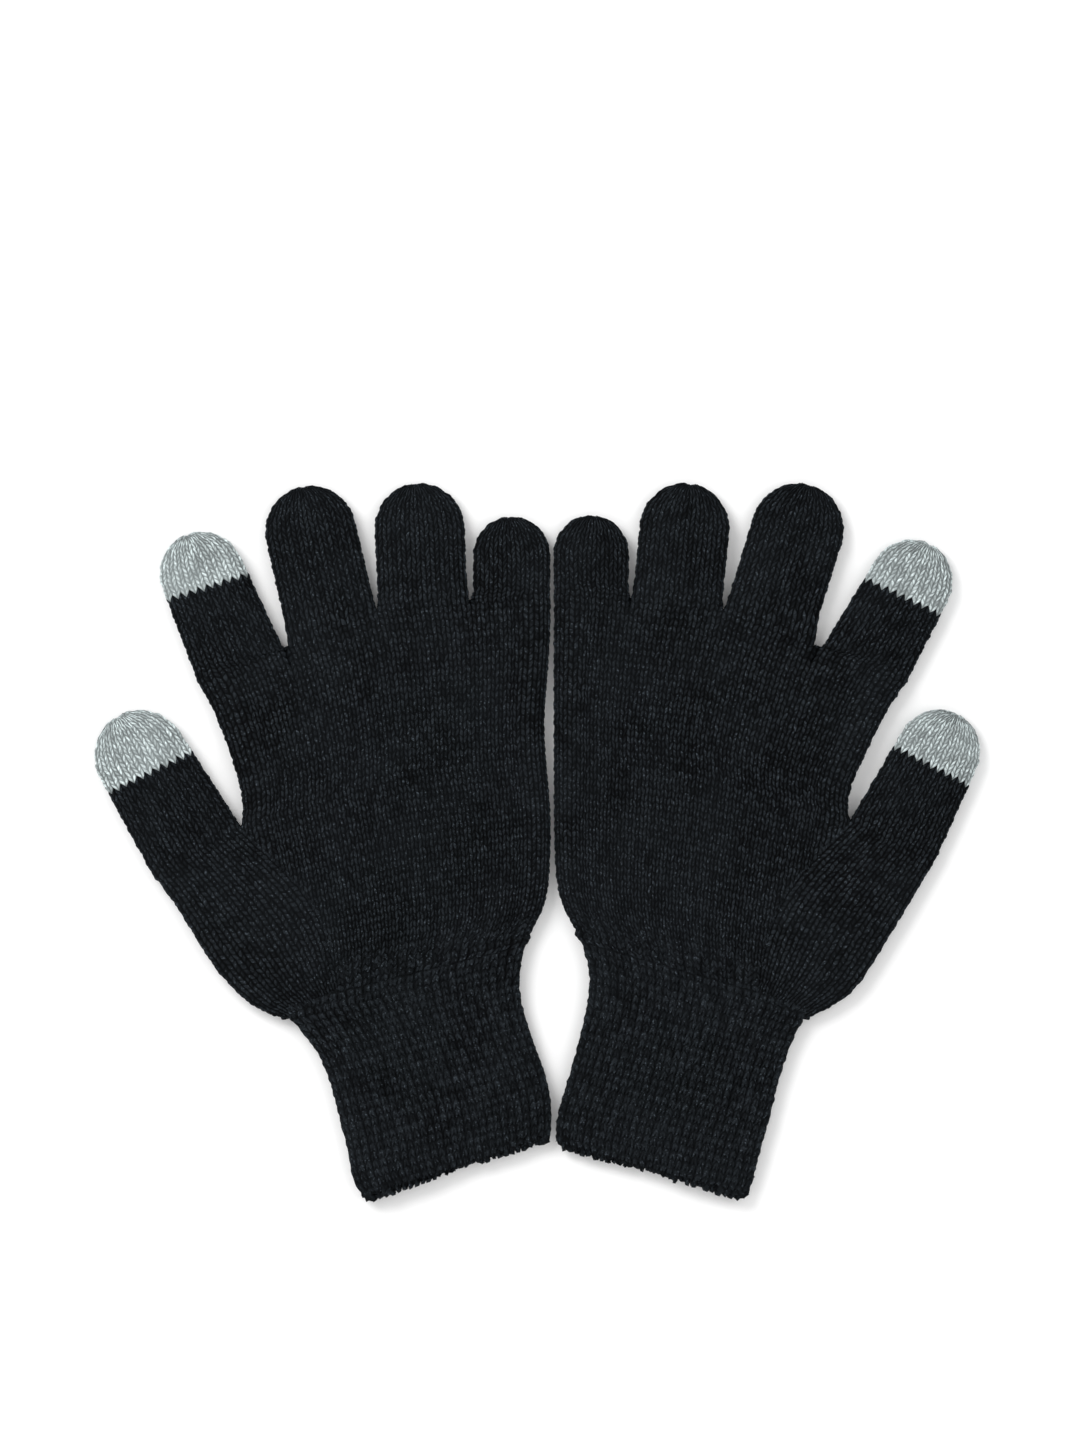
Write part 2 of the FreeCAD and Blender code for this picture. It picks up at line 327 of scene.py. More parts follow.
def knit(
        blank, flat, face, seed, slant, raised=0.0, relief=None, shape=None, seams=(True, True), ends=(1, 1)):
    """A flat grid given its thickness, its slanting stitches and their relief."""
    rows, columns = flat.shape[:2]
    a = np.broadcast_to(np.arange(columns) / WALE_CELLS, (rows, columns)) + 0.0
    b = np.broadcast_to(np.arange(rows)[:, None] / COURSE_CELLS, (rows, columns)) + 0.0
    along = np.gradient(flat, axis=0) * COURSE_CELLS
    fade = np.ones(rows)
    if ends[0] == 0:
        fade *= smoothstep(0, 6, np.arange(rows))
    if ends[1] == 0:
        fade *= smoothstep(0, 6, np.arange(rows)[::-1])
    f = a - np.floor(a)
    steep = np.broadcast_to(slant, (rows,))[:, None]
    flat = flat + along * ((np.abs(2 * f - 1) - 0.5) * steep * fade[:, None])[..., None]
    z = blank.height(flat, face) + face * raised
    seam = blank.sizes.seam_height
    if seams[0] is not False:
        mask = np.ones(rows, bool) if seams[0] is True else seams[0]
        z[mask, 0] = seam
    if seams[1]:
        z[:, -1] = seam
    points = np.concatenate([flat, z[..., None]], -1)
    normal = cloth_normals(points, face)
    yarn = stitch_relief(a, b) if shape is None else shape(a, b)
    uneven = 1 + scatter(a, b, seed, 0.18)
    # How proud the yarn stands, with a random tone per stitch; the finish paints shade in the grooves from it,
    # and highlight specks on the crests.
    shade = yarn * (1 + scatter(a, b, seed + 7, 0.45))
    lift = (yarn * uneven - 0.5) * (blank.sizes.relief if relief is None else relief)
    return Sheet(points + normal * lift[..., None], np.stack([a, b, shade], -1))


def match_seams(front, back, which=(True, True)):
    """Both sheets of a tube meet in the same points along its outline."""
    for column, use in ((0, which[0]), (-1, which[1])):
        if use is False:
            continue
        rows = slice(None) if use is True else use
        middle = (front.points[rows, column] + back.points[rows, column]) / 2
        front.points[rows, column] = back.points[rows, column] = middle


def make_piece(name, sheets, slot):
    """One mesh from sheets that share their edges, with its outside outwards."""
    bm = bmesh.new()
    points, stitches = [], []
    for sheet, face in sheets:
        co, stitch = sheet.points, sheet.stitch
        outer_rows = co[:max(2, len(co) // 3)]
        turn = np.cross(np.gradient(outer_rows, axis=1), np.gradient(outer_rows, axis=0))[..., 2].mean()
        if turn * face < 0:
            co, stitch = co[:, ::-1], stitch[:, ::-1]
        bmesh.ops.create_grid(bm, x_segments=co.shape[1] - 1, y_segments=co.shape[0] - 1, size=1)
        co = co + np.pad(stray(co), ((0, 0), (0, 0), (0, 1)))
        points.append(co.reshape(-1, 3))
        stitches.append(stitch.reshape(-1, 3))
    mesh = bpy.data.meshes.new(name)
    bm.to_mesh(mesh)
    bm.free()
    mesh.vertices.foreach_set("co", np.concatenate(points).astype(np.float32).ravel())
    mesh.attributes.new("stitch", "FLOAT_VECTOR", "POINT").data.foreach_set(
        "vector", np.concatenate(stitches).astype(np.float32).ravel())
    bm = bmesh.new()
    bm.from_mesh(mesh)
    bmesh.ops.remove_doubles(bm, verts=bm.verts, dist=0.02 * MM)
    if not any(face for _, face in sheets):
        bmesh.ops.recalc_face_normals(bm, faces=bm.faces)
    bm.to_mesh(mesh)
    bm.free()
    mesh.shade_smooth()
    piece = bpy.data.objects.new(name, mesh)
    bpy.context.scene.collection.objects.link(piece)
    piece.data.materials.append(finish(slot))
    return piece


# Materials

class Value:
    """A socket of a material's node tree; arithmetic on it adds Math nodes."""

    def __init__(self, tree, socket):
        self.tree, self.socket = tree, socket

    def math(self, operation, *others, swap=False):
        values = (*others, self) if swap else (self, *others)
        return self.tree.node("ShaderNodeMath", {"operation": operation}, dict(enumerate(values)))["Value"]

    def __add__(self, other):
        return self.math("ADD", other)

    def __sub__(self, other):
        return self.math("SUBTRACT", other)

    def __mul__(self, other):
        return self.math("MULTIPLY", other)

    def __pow__(self, other):
        return self.math("POWER", other)

    def __rsub__(self, other):
        return self.math("SUBTRACT", other, swap=True)

    __radd__, __rmul__ = __add__, __mul__

    def sine(self):
        return self.math("SINE")

    def between(self, low, high):
        """0 below low, 1 above high and smooth in between."""
        settings = {"interpolation_type": "SMOOTHSTEP"}
        inputs = {"Value": self, "From Min": low, "From Max": high}
        return self.tree.node("ShaderNodeMapRange", settings, inputs)["Result"]


class Outputs:
    def __init__(self, tree, node):
        self.tree, self.made = tree, node

    def __getitem__(self, name):
        return Value(self.tree, self.made.outputs[name])


class Finish:
    """A material under construction."""

    def __init__(self, name):
        self.material = bpy.data.materials.new(f"{name}_yarn")
        self.material.use_nodes = True
        self.material.node_tree.nodes.clear()

    def node(self, kind, settings=None, inputs=None):
        made = self.material.node_tree.nodes.new(kind)
        for key, value in (settings or {}).items():
            setattr(made, key, value)
        for key, value in (inputs or {}).items():
            if isinstance(value, Value):
                self.material.node_tree.links.new(value.socket, made.inputs[key])
            else:
                made.inputs[key].default_value = value
        return Outputs(self, made)

    def mix(self, share, a, b, blend="MIX"):
        settings = {"data_type": "RGBA", "blend_type": blend}
        made = self.node("ShaderNodeMix", settings, {0: share, 6: a, 7: b})
        return Value(self, made.made.outputs[2])

    def noise(self, at, scale, detail=2.0, roughness=0.5):
        return self.node("ShaderNodeTexNoise", {}, {
            "Vector": at, "Scale": scale, "Detail": detail, "Roughness": roughness})["Fac"]

    def close(self, colour, roughness, normal, **constants):
        names = {"sheen": "Sheen Weight", "sheen_rough": "Sheen Roughness", "sheen_tint": "Sheen Tint",
                 "specular": "Specular IOR Level"}
        inputs = {"Base Color": colour, "Roughness": roughness, "Normal": normal}
        inputs.update({names[key]: value for key, value in constants.items()})
        surface = self.node("ShaderNodeBsdfPrincipled", {}, inputs)["BSDF"]
        self.node("ShaderNodeOutputMaterial", {}, {"Surface": surface})
        return self.material


def yarn_finish(name, crest, groove_shade, pale, sheen, tint, specular, fibre_depth):
    """Spun yarn: two plies, loose fibres and an uneven dye, with painted shade down between the stitches and pale
    specks on their crests that are partly lighter fibres and partly painted highlight.
    """
    f = Finish(name)
    at = f.node("ShaderNodeTexCoord")["Object"]
    stitch = f.node("ShaderNodeAttribute", {"attribute_name": "stitch"})["Vector"]
    parts = f.node("ShaderNodeSeparateXYZ", {}, {"Vector": stitch})
    wale, course, proud = parts["X"], parts["Y"], parts["Z"]
    twist = (wale * (2 * math.pi * 3) + course * (2 * math.pi * 4)).sine() * 0.5 + 0.5
    fibres = f.noise(at, 3200.0, 3.0, 0.7)
    fuzz = f.noise(at, 1150.0, 3.0, 0.65)
    patches = f.noise(at, 60.0, 2.0, 0.5)
    loops = f.noise(at, 420.0, 2.0, 0.6)
    fibre_and_highlight_specks = f.noise(at, 1700.0, 1.0, 0.5)
    # Painted shade: where the yarn stands proud it keeps its crest colour, and down between the stitches it takes
    # the groove colour, a near-black painted shade; fuzz and loop noise mottle it at random.
    lit = (proud.between(0.05, 1.15) * (fuzz.between(0.32, 0.66) * 0.5 + 0.5)
           * (loops.between(0.3, 0.7) * 0.6 + 0.4))
    body = f.mix(lit, groove_shade, crest)
    worn = f.mix(patches.between(0.3, 0.7) * 0.25, body, tuple(0.5 * c for c in crest[:3]) + (1,))
    # Pale specks only on the crests: partly lighter fibres, partly painted highlight.
    colour = f.mix(fibre_and_highlight_specks.between(0.60, 0.74) * proud.between(0.2, 0.9) * 0.75, worn, pale)
    depth = twist * 0.35 + fibres * 0.45 + fuzz * 0.5
    bump = f.node("ShaderNodeBump", {}, {"Strength": 0.65, "Distance": fibre_depth, "Height": depth})["Normal"]
    return f.close(
        colour, 0.92 - fibres * 0.16, bump, sheen=sheen, sheen_rough=0.5, sheen_tint=tint, specular=specular)


def thread_finish(name, colour, pale, lap):
    """Fine covered thread, wound round and round."""
    f = Finish(name)
    at = f.node("ShaderNodeTexCoord")["Object"]
    fibres = f.noise(at, 2600.0, 3.0, 0.6)
    wound = f.node("ShaderNodeTexWave", {"bands_direction": "DIAGONAL"}, {
        "Vector": at, "Scale": lap, "Distortion": 2.0, "Detail": 2.0})["Fac"]
    shade = f.mix(fibres.between(0.3, 0.8) * 0.6 + wound * 0.3, colour, pale)
    depth = wound * 0.6 + fibres * 0.6
    bump = f.node("ShaderNodeBump", {}, {"Strength": 0.5, "Distance": 0.0002, "Height": depth})["Normal"]
    return f.close(shade, 0.85 - fibres * 0.15, bump, sheen=0.15, specular=0.3)


FINISHES = {}


def finish(slot):
    """The finish of one material slot of the record, made once."""
    if slot not in FINISHES:
        FINISHES[slot] = make_finish(slot)
    return FINISHES[slot]


def make_finish(slot):
    colours = bpy.context.scene.glove_colours
    black, touch = tuple(colours.black_yarn) + (1,), tuple(colours.touch_yarn) + (1,)

    def shade(colour, by):
        return tuple(c * by for c in colour[:3]) + (1,)

    # For the knitted yarns the second colour is a far darker copy, painted shade for the grooves, and the third a
    # paler copy for the crest specks, partly painted highlight.
    if slot == "conductive_knit":
        return yarn_finish(
            slot, touch, shade(touch, 0.16), shade(touch, 1.1), 0.15, (1, 1, 1, 1), 0.2, FIBRE_DEPTH)
    if slot == "tie_yarn":
        return thread_finish(slot, shade(touch, 0.7), touch, 500.0)
    if slot == "elastic_thread":
        return thread_finish(slot, shade(black, 0.8), shade(black, 2.5), 900.0)
    return yarn_finish(
        slot, black, shade(black, 0.03), shade(black, 2.9), 0.01, (0.75, 0.85, 1, 1), 0.05, FIBRE_DEPTH)


# The pieces of one glove

def knit_both(blank, flat, seed, slant, **words):
    front = knit(blank, flat, PALM_SIDE, seed, slant, **words)
    back = knit(blank, flat, BACK_SIDE, seed + 1, slant, **words)
    return front, back


class Glove:
    """Where the parts of one glove meet, and the sheets knitted between them."""

    def __init__(self, side):
        self.side = side
        self.sizes = bpy.context.scene.glove_sizes
        self.blank = Blank(side, self.sizes)
        self.seed = 11 if side == "left" else 47
        self.inward = self.blank.inward
        self.hand, self.cuff = f"{side}_hand", f"{side}_cuff"
        self.find_corners()

    def name(self, rest):
        return f"{self.side}_{rest}"

    def find_corners(self):
        blank = self.blank
        self.root, self.forward = {}, {}
        for digit in DIGITS:
            point, along = joint_line(self.name(f"{digit}_root_fold"))
            forward = turned(along) * self.inward
            ends = blank.line_ends([self.name(f"{digit}_lower")], point + forward * 0.6 * MM, along)
            self.root[digit] = [end - forward * 0.6 * MM for end in ends]
            self.forward[digit] = forward
        self.crotches = [self.root["index"][0]]
        for a, b in zip(FINGERS, FINGERS[1:]):
            self.crotches.append((self.root[a][1] + self.root[b][0]) / 2)
        self.crotches.append(self.root["little"][1])
        point, along = joint_line(self.name("wrist_fold"))
        self.up = turned(along) * self.inward
        self.wrist = blank.line_ends([self.hand], point + self.up * 0.1 * MM, along)
        self.along_wrist = along
        reach = self.sizes.rib_reach
        inner = blank.line_ends([self.hand], point + self.up * reach, along)[1]
        self.rib_top = [self.wrist[0] + self.up * reach, inner]

    def palm(self):
        """The flat of the hand on both sides, with its stitches turning to ribs above the wrist."""
        blank, sizes = self.blank, self.sizes
        wales = [sizes.finger_wales] * 3 + [sizes.little_wales]
        counts = [w * WALE_CELLS for w in wales]
        top = np.concatenate([
            self.crotches[i]
            + (self.crotches[i + 1] - self.crotches[i]) * np.linspace(0, 1, n, endpoint=False)[:, None]
            for i, n in enumerate(counts)
        ] + [self.crotches[-1][None]])
        columns = len(top)
        bottom = self.rib_top[0] + (self.rib_top[1] - self.rib_top[0]) * np.linspace(0, 1, columns)[:, None]
        crotch = self.root["thumb"][1]
        hidden = self.rib_top[0] + (crotch - self.rib_top[0]) * np.linspace(0, 1, 40)[:, None]
        side = blank.side_curve([self.hand], crotch, self.root["index"][0], -self.along_wrist)
        near_line = np.concatenate([hidden, side[1:]])
        heel = blank.side_curve([self.hand], self.rib_top[1], self.root["little"][1], self.along_wrist)
        length = (np.linalg.norm(self.root["little"][1] - self.rib_top[1])
                  + np.linalg.norm(self.root["index"][0] - self.rib_top[0])) / 2
        courses = round(length / sizes.course)
        shares = np.linspace(0, 1, courses * COURSE_CELLS + 1)
        near, far = resample(near_line, shares), resample(heel, shares)
        turn = np.linalg.norm(crotch - self.rib_top[0]) / (
            np.linalg.norm(crotch - self.rib_top[0]) + np.linalg.norm(np.diff(side, axis=0), axis=1).sum())
        flat = patch(bottom, top, near, far)
        lateral = np.linspace(0, 1, columns)
        ease = np.interp(edge_ease(columns), lateral, np.arange(columns))
        low = np.floor(np.minimum(ease, columns - 1.001)).astype(int)
        part = (ease - low)[None, :, None]
        flat = flat[:, low] * (1 - part) + flat[:, np.minimum(low + 1, columns - 1)] * part
        open_rows = shares >= turn + 0.01
        ribs = sizes.rib_columns

        up = (flat - self.wrist[0]) @ self.up / MM
        ribbed = 1 - smoothstep(sizes.rib_reach / MM + 0.5, sizes.rib_reach / MM + 15, up)

        def shape(a, b):
            across = a / a.max() * ribs
            return (1 - ribbed) * stitch_relief(a, b) + ribbed * rib_relief(across, b)

        relief = sizes.relief + (sizes.rib_relief - sizes.relief) * ribbed
        slant = sizes.palm_slant
        front, back = knit_both(
            blank, flat, self.seed, slant, relief=relief, shape=shape, seams=(open_rows, True), ends=(0, 1))
        match_seams(front, back, (open_rows, True))
        inside = self.under_thumb(flat) * (1 - smoothstep(turn - 0.06, turn, shares))[:, None]
        front.points[..., 2] -= inside * 1.3 * MM
        back.points[..., 2] += inside * 0.9 * MM
        self.palm_sheets = (front, back)
        self.wale_counts = counts
        for sheet, face, word in ((front, PALM_SIDE, "palm"), (back, BACK_SIDE, "back")):
            piece = make_piece(self.name(word), [(sheet, face)], "black_knit")
            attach(piece, self.hand)
            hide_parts(self.hand)

    def gusset(self):
        """The line from the thumb's crotch down to the cuff where the thumb's stitches meet the palm's."""
        crotch = self.root["thumb"][1]
        foot = self.rib_top[0] + (self.rib_top[1] - self.rib_top[0]) * 0.24
        t = np.linspace(0, 1, 80)[:, None]
        bow = self.along_wrist * self.sizes.gusset_bow
        return foot + (crotch - foot) * t + bow * np.sin(math.pi * t) ** 1.2

    def under_thumb(self, at):
        """1 well inside the thumb's side of the gusset, 0 on the palm's side."""
        line = self.gusset()
        flat_at = at.reshape(-1, 2)
        best, signed = np.full(len(flat_at), 1e9), np.zeros(len(flat_at))
        for a, b in zip(line[:-1:2], line[2::2]):
            d = b - a
            t = np.clip(((flat_at - a) @ d) / (d @ d), 0, 1)
            off = flat_at - (a + t[:, None] * d)
            distance = np.linalg.norm(off, axis=1)
            closer = distance < best
            best[closer] = distance[closer]
            signed[closer] = (distance * np.sign(off @ -self.along_wrist))[closer]
        return smoothstep(0.2 * MM, 3 * MM, signed).reshape(at.shape[:2])

    def thumb_base(self):
        """The ball of the thumb, whose stitches follow the thumb and lie over the palm's."""
        blank, sizes = self.blank, self.sizes
        outer, crotch = self.root["thumb"]
        columns = sizes.thumb_wales * WALE_CELLS + 1
        gusset = self.gusset()
        ball = blank.side_curve([self.hand], self.wrist[0], outer, -self.along_wrist)
        across = np.linspace(0, 1, columns)[:, None]
        top = outer + (crotch - outer) * across
        bottom = self.wrist[0] + (gusset[0] - self.wrist[0]) * across
        courses = round(np.linalg.norm(outer + crotch - self.wrist[0] - gusset[0]) / 2 / sizes.finger_course)
        shares = np.linspace(0, 1, courses * COURSE_CELLS + 1)
        flat = patch(bottom, top, resample(ball, shares), resample(gusset, shares))
        rows = len(flat)
        tuck = 1 - smoothstep(0, 1.6, np.arange(columns)[::-1] / WALE_CELLS)[None, :]
        foot = 1 - smoothstep(0, 2.2, np.arange(rows) / COURSE_CELLS)[:, None]
        crotch_fade = smoothstep(0, 10, np.arange(rows)[::-1] / COURSE_CELLS)[:, None]
        down = np.maximum(tuck * (0.35 + 0.65 * crotch_fade), foot)
        raised = (0.45 * (1 - down) * crotch_fade - 0.55 * down * crotch_fade) * MM
        quiet = 1 - 0.75 * foot
        front, back = knit_both(
            blank, flat, self.seed + 5, sizes.palm_slant, raised=raised, relief=sizes.relief * quiet,
            seams=(True, False))
        match_seams(front, back, (True, False))
        self.ball_sheets = (front, back)
        piece = make_piece(self.name("ball_of_thumb"), [(front, PALM_SIDE), (back, BACK_SIDE)], "black_knit")
        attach(piece, self.hand)
        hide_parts(self.hand)

    def digit(self, digit):
        """A digit's tube in two stretches, split halfway to its middle fold, and its touch tip if it has one."""
        blank, sizes = self.blank, self.sizes
        nodes = [self.name(f"{digit}_lower"), self.name(f"{digit}_upper")]
        touch = digit in TOUCH_DIGITS
        tip_node = self.name(f"{digit}_tip")
        if touch:
            nodes.append(tip_node)
        faces = np.concatenate([blank.faces[n] for n in nodes]).reshape(-1, 2)
        root = sum(self.root[digit]) / 2
        forward = self.forward[digit]
        far = faces[((faces - root) @ forward) > 0.75 * ((faces - root) @ forward).max()]
        axis = unit(far.mean(axis=0) - root)
        tip_end = ((faces - root) @ axis).max()
        lateral = -turned(axis) * self.inward
        fold_turn = math.atan2(self.along(digit) @ axis, self.along(digit) @ lateral)
        border, border_turn = None, 0.0
        if touch:
            tips = blank.faces[tip_node].reshape(-1, 2)
            local = np.stack([(tips - root) @ lateral, (tips - root) @ axis], -1)
            a = local[np.argmin(local[:, 1] + 0.55 * local[:, 0])]
            b = local[np.argmin(local[:, 1] - 0.55 * local[:, 0])]
            a, b = (a, b) if a[0] < b[0] else (b, a)
            border = a[1] + (b[1] - a[1]) * (0 - a[0]) / (b[0] - a[0])
            border_turn = math.atan2(b[1] - a[1], b[0] - a[0])
        last = tip_end - 0.06 * MM
        if touch:
            lower_courses = round(border / sizes.finger_course)
            upper_courses = max(3, round((last - border) / sizes.tip_course))
            stations = np.concatenate([
                np.linspace(0, border, lower_courses * COURSE_CELLS + 1),
                np.linspace(border, last, upper_courses * COURSE_CELLS + 1)[1:]])
            split = lower_courses * COURSE_CELLS
        else:
            courses = round(last / sizes.finger_course)
            stations = np.linspace(0, last, courses * COURSE_CELLS + 1)
            split = None
        crown = 2 * COURSE_CELLS
        reach = last - stations[-crown - 1]
        stations[-crown:] = last - reach * (1 - np.arange(1, crown + 1) / crown) ** 1.7
        wales = {"thumb": sizes.thumb_wales, "little": sizes.little_wales}.get(digit, sizes.finger_wales)
        columns = wales * WALE_CELLS + 1
        middle, _ = joint_line(self.name(f"{digit}_middle_fold"))
        half = (middle - root) @ forward / 2
        straighten = smoothstep(half + 1.5 * MM, 2 * half + 9 * MM if border is None else border, stations)
        turn = fold_turn * (1 - straighten)
        if touch:
            turn = turn + border_turn * straighten * (1 - smoothstep(border, tip_end, stations))
        spans = []
        for s, angle in zip(stations, turn):
            direction = lateral * math.cos(angle) + axis * math.sin(angle)
            point = root + axis * max(s, 0.7 * MM)
            low, high = blank.span(nodes, point, direction)
            shift = axis * (s - max(s, 0.7 * MM))
            spans.append((point + shift + low * direction, point + shift + high * direction))
        spans = np.array(spans)
        straight = stations < tip_end - 8 * MM
        for end, out in ((0, -lateral), (1, lateral)):
            offsets = (spans[:, end] - root) @ out
            filled = bridged(offsets, 9)
            spans[:, end] += out * ((filled - offsets) * straight)[:, None]
        corners = self.root_corners(digit)
        settle = 1 - smoothstep(0, 7 * MM, stations)
        for end in (0, 1):
            spans[:, end] += (corners[end] - spans[0, end]) * settle[:, None]
        kernel = np.array([1, 2, 3, 2, 1]) / 9
        for end in (0, 1):
            for i in (0, 1):
                line = spans[:, end, i]
                smooth = np.convolve(np.pad(line, 2, mode="edge"), kernel, "valid")
                spans[3:-8, end, i] = smooth[3:-8]
        flat = self.evened(spans, columns)
        along_digit = smoothstep(0, 24, np.arange(len(stations)))
        slant = sizes.palm_slant + (sizes.digit_slant - sizes.palm_slant) * along_digit
        seed = self.seed + 20 * DIGITS.index(digit)
        front, back = knit_both(blank, flat, seed, slant, ends=(1, 0))
        for sheet in (front, back):
            sheet.points[-1, :, 2] = sizes.seam_height
        match_seams(front, back)
        back.points[-1] = front.points[-1]
        self.share_root(digit, front, back)
        self.hang_digit(digit, front, back, stations, split)

    def along(self, digit):
        return unit(self.root[digit][1] - self.root[digit][0])

    def root_corners(self, digit):
        if digit == "thumb":
            return self.root["thumb"]
        i = FINGERS.index(digit)
        return self.crotches[i], self.crotches[i + 1]

    def evened(self, spans, columns):
        """Columns spaced evenly over the swell of the tube, not over its shadow."""
        dense = np.linspace(0, 1, 121)
        at = spans[:, :1] + (spans[:, 1:] - spans[:, :1]) * dense[None, :, None]
        z = self.blank.height(at, PALM_SIDE)
        z[:, 0] = z[:, -1] = self.sizes.seam_height
        solid = np.concatenate([at, z[..., None]], -1)
        step = np.linalg.norm(np.diff(solid, axis=1), axis=2) ** 0.6
        length = np.concatenate([np.zeros((len(at), 1)), np.cumsum(step, axis=1)], axis=1)
        length /= length[:, -1:]
        kernel = np.ones(9) / 9
        length = np.stack([
            np.convolve(np.pad(length[:, i], 4, mode="edge"), kernel, "valid") for i in range(121)], -1)
        shares = np.array([np.interp(np.linspace(0, 1, columns), row, dense) for row in length])
        return spans[:, :1] + (spans[:, 1:] - spans[:, :1]) * shares[..., None]

    def share_root(self, digit, front, back):
        """The first row of a digit is the last row of the sheet it grows from."""
        if digit == "thumb":
            sources, start, count = self.ball_sheets, 0, self.sizes.thumb_wales * WALE_CELLS
        else:
            i = FINGERS.index(digit)
            sources, start, count = self.palm_sheets, sum(self.wale_counts[:i]), self.wale_counts[i]
        for sheet, source in zip((front, back), sources):
            wanted = source.points[-1, start:start + count + 1]
            gap = wanted - sheet.points[0]
            fade = 1 - smoothstep(0, 9, np.arange(len(sheet.points)))
            sheet.points += gap[None] * fade[:, None, None]
        match_seams(front, back, (slice(1, None), slice(1, None)))

    def hang_digit(self, digit, front, back, stations, split):
        root = sum(self.root[digit]) / 2
        forward = self.forward[digit]
        middle, _ = joint_line(self.name(f"{digit}_middle_fold"))
        reach = (middle - root) @ forward
        heights = (front.points[:, :, :2] - root) @ forward
        cut = int(np.argmax(heights.mean(axis=1) >= 0.5 * reach))
        cut = round(cut / COURSE_CELLS) * COURSE_CELLS
        stop = len(stations) if split is None else split + 1
        zone, bend_start = heights[cut].min() - 0.3 * MM, heights[cut].max() + 0.3 * MM
        bend_end = 2 * reach - bend_start
        if split is not None:
            bend_end = min(bend_end, heights[split].min() - 0.3 * MM)
        lower = make_piece(self.name(f"{digit}_root_knit"), [
            (front.rows(0, cut + 1), PALM_SIDE), (back.rows(0, cut + 1), BACK_SIDE)], "black_knit")
        bodies = self.hand, self.name(f"{digit}_lower"), self.name(f"{digit}_upper")
        a, b = root + forward * 0.2 * MM, root + forward * zone
        bodies[0]
        bodies[1]
        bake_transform(lower)
        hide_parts(self.name(f"{digit}_lower"))
        upper = make_piece(self.name(f"{digit}_knit"), [
            (front.rows(cut, stop), PALM_SIDE), (back.rows(cut, stop), BACK_SIDE)], "black_knit")
        a, b = root + forward * bend_start, root + forward * bend_end
        bodies[1]
        bodies[2]
        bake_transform(upper)
        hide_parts(self.name(f"{digit}_lower"), self.name(f"{digit}_upper"))
        if split is not None:
            tip = make_piece(self.name(f"{digit}_touch_tip"), [
                (front.rows(split, None), PALM_SIDE), (back.rows(split, None), BACK_SIDE)], "conductive_knit")
            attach(tip, bodies[2])
            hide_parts(self.name(f"{digit}_tip"))

    def cuff_flat(self):
        blank, sizes = self.blank, self.sizes
        edge = blank.faces[self.name("cuff_edge")].reshape(-1, 2)
        down = unit(edge.mean(axis=0) - sum(self.wrist) / 2)
        across = turned(down) * self.inward
        outer = edge[np.argmax(edge @ down - edge @ across)]
        inner = edge[np.argmax(edge @ down + edge @ across)]
        nodes = [self.hand, self.name("cuff"), self.name("cuff_edge")]
        hidden = self.rib_top[0] + (self.wrist[0] - self.rib_top[0]) * np.linspace(0, 1, 12)[:, None]
        outside = blank.side_curve(nodes[1:], self.wrist[0], outer, -across)
        inside = blank.side_curve(nodes, self.rib_top[1], inner, across)
        near_line = np.concatenate([hidden, outside[1:]])
        length = (np.linalg.norm(outer - self.rib_top[0]) + np.linalg.norm(inner - self.rib_top[1])) / 2
        courses = round(length / sizes.rib_course)
        shares = np.linspace(0, 1, courses * COURSE_CELLS + 1)
        columns = sizes.rib_columns * WALE_CELLS + 1
        across_shares = np.linspace(0, 1, columns)[:, None]
        top = self.rib_top[0] + (self.rib_top[1] - self.rib_top[0]) * across_shares
        hem = outer + (inner - outer) * across_shares
        turn = np.linalg.norm(hidden[-1] - hidden[0]) / (
            np.linalg.norm(hidden[-1] - hidden[0]) + np.linalg.norm(np.diff(outside, axis=0), axis=1).sum())
        flat = patch(top, hem, resample(near_line, shares), resample(inside, shares))
        to_hem = (1 - shares) * length
        into_corner = np.clip(sizes.hem_round - to_hem, 0, None)
        narrow = sizes.hem_round - np.sqrt(sizes.hem_round ** 2 - into_corner ** 2)
        half_width = np.linalg.norm(flat[:, -1] - flat[:, 0], axis=1) / 2
        centre = flat.mean(axis=1, keepdims=True)
        flat = centre + (flat - centre) * (1 - narrow / half_width)[:, None, None]
        rng = np.random.default_rng(self.seed + 3)
        size = np.repeat(rng.uniform(0.25, 1.0, sizes.rib_columns + 1), WALE_CELLS)[:columns]
        lobes = (np.abs(np.sin(math.pi * np.arange(columns) / WALE_CELLS)) ** 0.6 - 0.35) * size
        end = smoothstep(0, 1.6 * COURSE_CELLS, 1.6 * COURSE_CELLS - np.arange(len(flat))[::-1])
        return flat + down * (end[:, None] * lobes * sizes.hem_lobes)[..., None], shares >= turn

